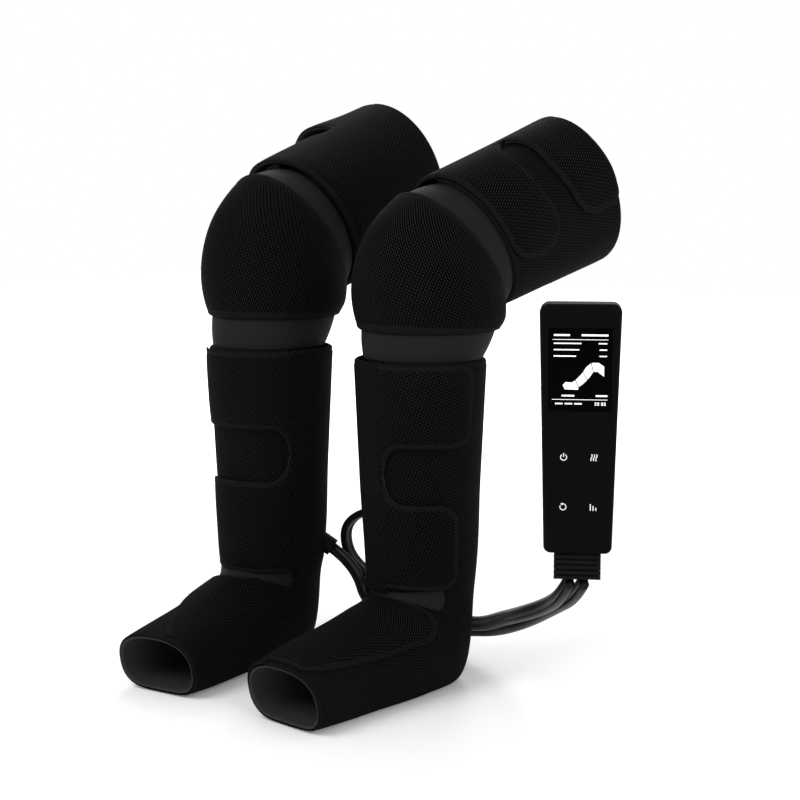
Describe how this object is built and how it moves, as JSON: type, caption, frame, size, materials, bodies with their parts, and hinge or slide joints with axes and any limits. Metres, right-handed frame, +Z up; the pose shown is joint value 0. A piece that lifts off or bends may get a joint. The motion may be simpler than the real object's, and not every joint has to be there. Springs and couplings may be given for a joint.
{
  "type": "air compression leg massager",
  "caption": "Pair of black full leg air compression wraps with open toe boots, knee cups and thigh cuffs, hosed to an upright handheld controller with screen and keys.",
  "frame": {"origin": "on the floor, below the middle of the set's bounding box without the hoses", "axes": "+Z up, -Y the way the wearer faces and the toes point, +X to the wearer's left"},
  "size_m": [0.6761, 0.5468, 0.6785],
  "materials": {
    "shell_fabric": "black ribbed knit",
    "stretch_fabric": "smooth dark grey stretch knit",
    "lining_fabric": "brushed dark grey",
    "bladder_cloth": "coated nylon",
    "heater_felt": "felted",
    "socket_plastic": "moulded satin",
    "hose_tubing": "smooth flexible tubing",
    "case_plastic": "satin black",
    "screen_glass": "polished black",
    "display_stack": "dark",
    "circuit_laminate": "green laminate",
    "switch_plastic": "moulded",
    "screw_steel": "zinc plated",
    "pump_metal": "as cast",
    "cushion_rubber": "soft foam rubber",
    "valve_steel": "plated cans",
    "key_plastic": "satin black with white symbol",
    "boot_rubber": "ribbed satin"
  },
  "bodies": {
    "base": {"left_foot_cover": "shell_fabric", "left_foot_bladder": "bladder_cloth", "left_foot_lining": "lining_fabric", "left_ankle_gusset": "stretch_fabric", "left_calf_cover": "shell_fabric", "left_calf_bladders": "bladder_cloth", "left_calf_lining": "lining_fabric", "left_hose_socket": "socket_plastic", "left_knee_lower_band": "stretch_fabric", "right_foot_cover": "shell_fabric", "right_foot_bladder": "bladder_cloth", "right_foot_lining": "lining_fabric", "right_ankle_gusset": "stretch_fabric", "right_calf_cover": "shell_fabric", "right_calf_bladders": "bladder_cloth", "right_calf_lining": "lining_fabric", "right_hose_socket": "socket_plastic", "right_knee_lower_band": "stretch_fabric", "front_shell": "case_plastic", "rear_shell": "case_plastic", "screen_window": "screen_glass", "display_panel": "display_stack", "circuit_board": "circuit_laminate", "key_switches": "switch_plastic", "case_screws": "screw_steel", "air_pump": "pump_metal", "pump_cushions": "cushion_rubber", "valve_block": "switch_plastic", "solenoid_valves": "valve_steel", "power_inlet": "switch_plastic", "hose_boot": "boot_rubber", "left_hose": "hose_tubing", "right_hose": "hose_tubing"},
    "left_knee": {"left_knee_cover": "shell_fabric", "left_knee_heat_pad": "heater_felt", "left_knee_upper_band": "stretch_fabric"},
    "left_thigh": {"left_thigh_cover": "shell_fabric", "left_thigh_bladder": "bladder_cloth", "left_thigh_lining": "lining_fabric"},
    "left_calf_upper_flap": {"left_calf_upper_flap": "shell_fabric"},
    "left_calf_lower_flap": {"left_calf_lower_flap": "shell_fabric"},
    "left_foot_flap": {"left_foot_flap": "shell_fabric"},
    "left_thigh_lower_flap": {"left_thigh_lower_flap": "shell_fabric"},
    "left_thigh_upper_flap": {"left_thigh_upper_flap": "shell_fabric"},
    "right_knee": {"right_knee_cover": "shell_fabric", "right_knee_heat_pad": "heater_felt", "right_knee_upper_band": "stretch_fabric"},
    "right_thigh": {"right_thigh_cover": "shell_fabric", "right_thigh_bladder": "bladder_cloth", "right_thigh_lining": "lining_fabric"},
    "right_calf_upper_flap": {"right_calf_upper_flap": "shell_fabric"},
    "right_calf_lower_flap": {"right_calf_lower_flap": "shell_fabric"},
    "right_foot_flap": {"right_foot_flap": "shell_fabric"},
    "right_thigh_lower_flap": {"right_thigh_lower_flap": "shell_fabric"},
    "right_thigh_upper_flap": {"right_thigh_upper_flap": "shell_fabric"},
    "power_button": {"power_button": "key_plastic"},
    "heat_button": {"heat_button": "key_plastic"},
    "mode_button": {"mode_button": "key_plastic"},
    "intensity_button": {"intensity_button": "key_plastic"}
  },
  "joints": [
    {"name": "left_knee_bend", "type": "hinge", "parent": "base", "child": "left_knee", "pos_m": [0.0024, -0.02111, 0.47], "axis": [0.9954, -0.0958, 0], "range_deg": [-8, 18], "deforming": ["left_knee_lower_band"]},
    {"name": "left_thigh_bend", "type": "hinge", "parent": "left_knee", "child": "left_thigh", "pos_m": [0.0024, -0.02111, 0.47], "axis": [0.9954, -0.0958, 0], "range_deg": [-8, 18], "deforming": ["left_knee_upper_band"]},
    {"name": "left_calf_upper_flap_hinge", "type": "hinge", "parent": "base", "child": "left_calf_upper_flap", "pos_m": [-0.00451, -0.12096, 0.3295], "axis": [0.0029, 0.0476, -0.9989], "range_deg": [0, 110]},
    {"name": "left_calf_lower_flap_hinge", "type": "hinge", "parent": "base", "child": "left_calf_lower_flap", "pos_m": [-0.00404, -0.11319, 0.1665], "axis": [0.0029, 0.0476, -0.9989], "range_deg": [0, 110]},
    {"name": "left_foot_flap_hinge", "type": "hinge", "parent": "base", "child": "left_foot_flap", "pos_m": [-0.03628, -0.1932, 0.09101], "axis": [-0.0928, -0.9641, -0.2487], "range_deg": [0, 130]},
    {"name": "left_thigh_lower_flap_hinge", "type": "hinge", "parent": "left_thigh", "child": "left_thigh_lower_flap", "pos_m": [0.00702, 0.02695, 0.60235], "axis": [-0.091, -0.9453, -0.3132], "range_deg": [0, 110]},
    {"name": "left_thigh_upper_flap_hinge", "type": "hinge", "parent": "left_thigh", "child": "left_thigh_upper_flap", "pos_m": [0.01764, 0.13716, 0.63887], "axis": [-0.091, -0.9453, -0.3132], "range_deg": [0, 110]},
    {"name": "right_knee_bend", "type": "hinge", "parent": "base", "child": "right_knee", "pos_m": [-0.2354, -0.02111, 0.47], "axis": [0.9954, 0.0958, 0], "range_deg": [-8, 18], "deforming": ["right_knee_lower_band"]},
    {"name": "right_thigh_bend", "type": "hinge", "parent": "right_knee", "child": "right_thigh", "pos_m": [-0.2354, -0.02111, 0.47], "axis": [0.9954, 0.0958, 0], "range_deg": [-8, 18], "deforming": ["right_knee_upper_band"]},
    {"name": "right_calf_upper_flap_hinge", "type": "hinge", "parent": "base", "child": "right_calf_upper_flap", "pos_m": [-0.16481, -0.07961, 0.3295], "axis": [0.0423, -0.022, 0.9989], "range_deg": [0, 110]},
    {"name": "right_calf_lower_flap_hinge", "type": "hinge", "parent": "base", "child": "right_calf_lower_flap", "pos_m": [-0.17171, -0.07601, 0.1665], "axis": [0.0423, -0.022, 0.9989], "range_deg": [0, 110]},
    {"name": "right_foot_flap_hinge", "type": "hinge", "parent": "base", "child": "right_foot_flap", "pos_m": [-0.19672, -0.1932, 0.09101], "axis": [-0.0928, 0.9641, 0.2487], "range_deg": [0, 130]},
    {"name": "right_thigh_lower_flap_hinge", "type": "hinge", "parent": "right_thigh", "child": "right_thigh_lower_flap", "pos_m": [-0.24032, 0.03002, 0.62063], "axis": [-0.0906, 0.9405, 0.3274], "range_deg": [0, 110]},
    {"name": "right_thigh_upper_flap_hinge", "type": "hinge", "parent": "right_thigh", "child": "right_thigh_upper_flap", "pos_m": [-0.25114, 0.14237, 0.65974], "axis": [-0.0906, 0.9405, 0.3274], "range_deg": [0, 110]},
    {"name": "power_button_press", "type": "slide", "parent": "base", "child": "power_button", "axis": [-0.515, 0.8572, 0], "range_m": [0, 0.0006], "stiffness_N_per_m": 600},
    {"name": "heat_button_press", "type": "slide", "parent": "base", "child": "heat_button", "axis": [-0.515, 0.8572, 0], "range_m": [0, 0.0006], "stiffness_N_per_m": 600},
    {"name": "mode_button_press", "type": "slide", "parent": "base", "child": "mode_button", "axis": [-0.515, 0.8572, 0], "range_m": [0, 0.0006], "stiffness_N_per_m": 600},
    {"name": "intensity_button_press", "type": "slide", "parent": "base", "child": "intensity_button", "axis": [-0.515, 0.8572, 0], "range_m": [0, 0.0006], "stiffness_N_per_m": 600}
  ],
  "couplings": [
    {"joint": "left_thigh_bend", "follows": "left_knee_bend", "ratio": 1},
    {"joint": "right_thigh_bend", "follows": "right_knee_bend", "ratio": 1}
  ]
}
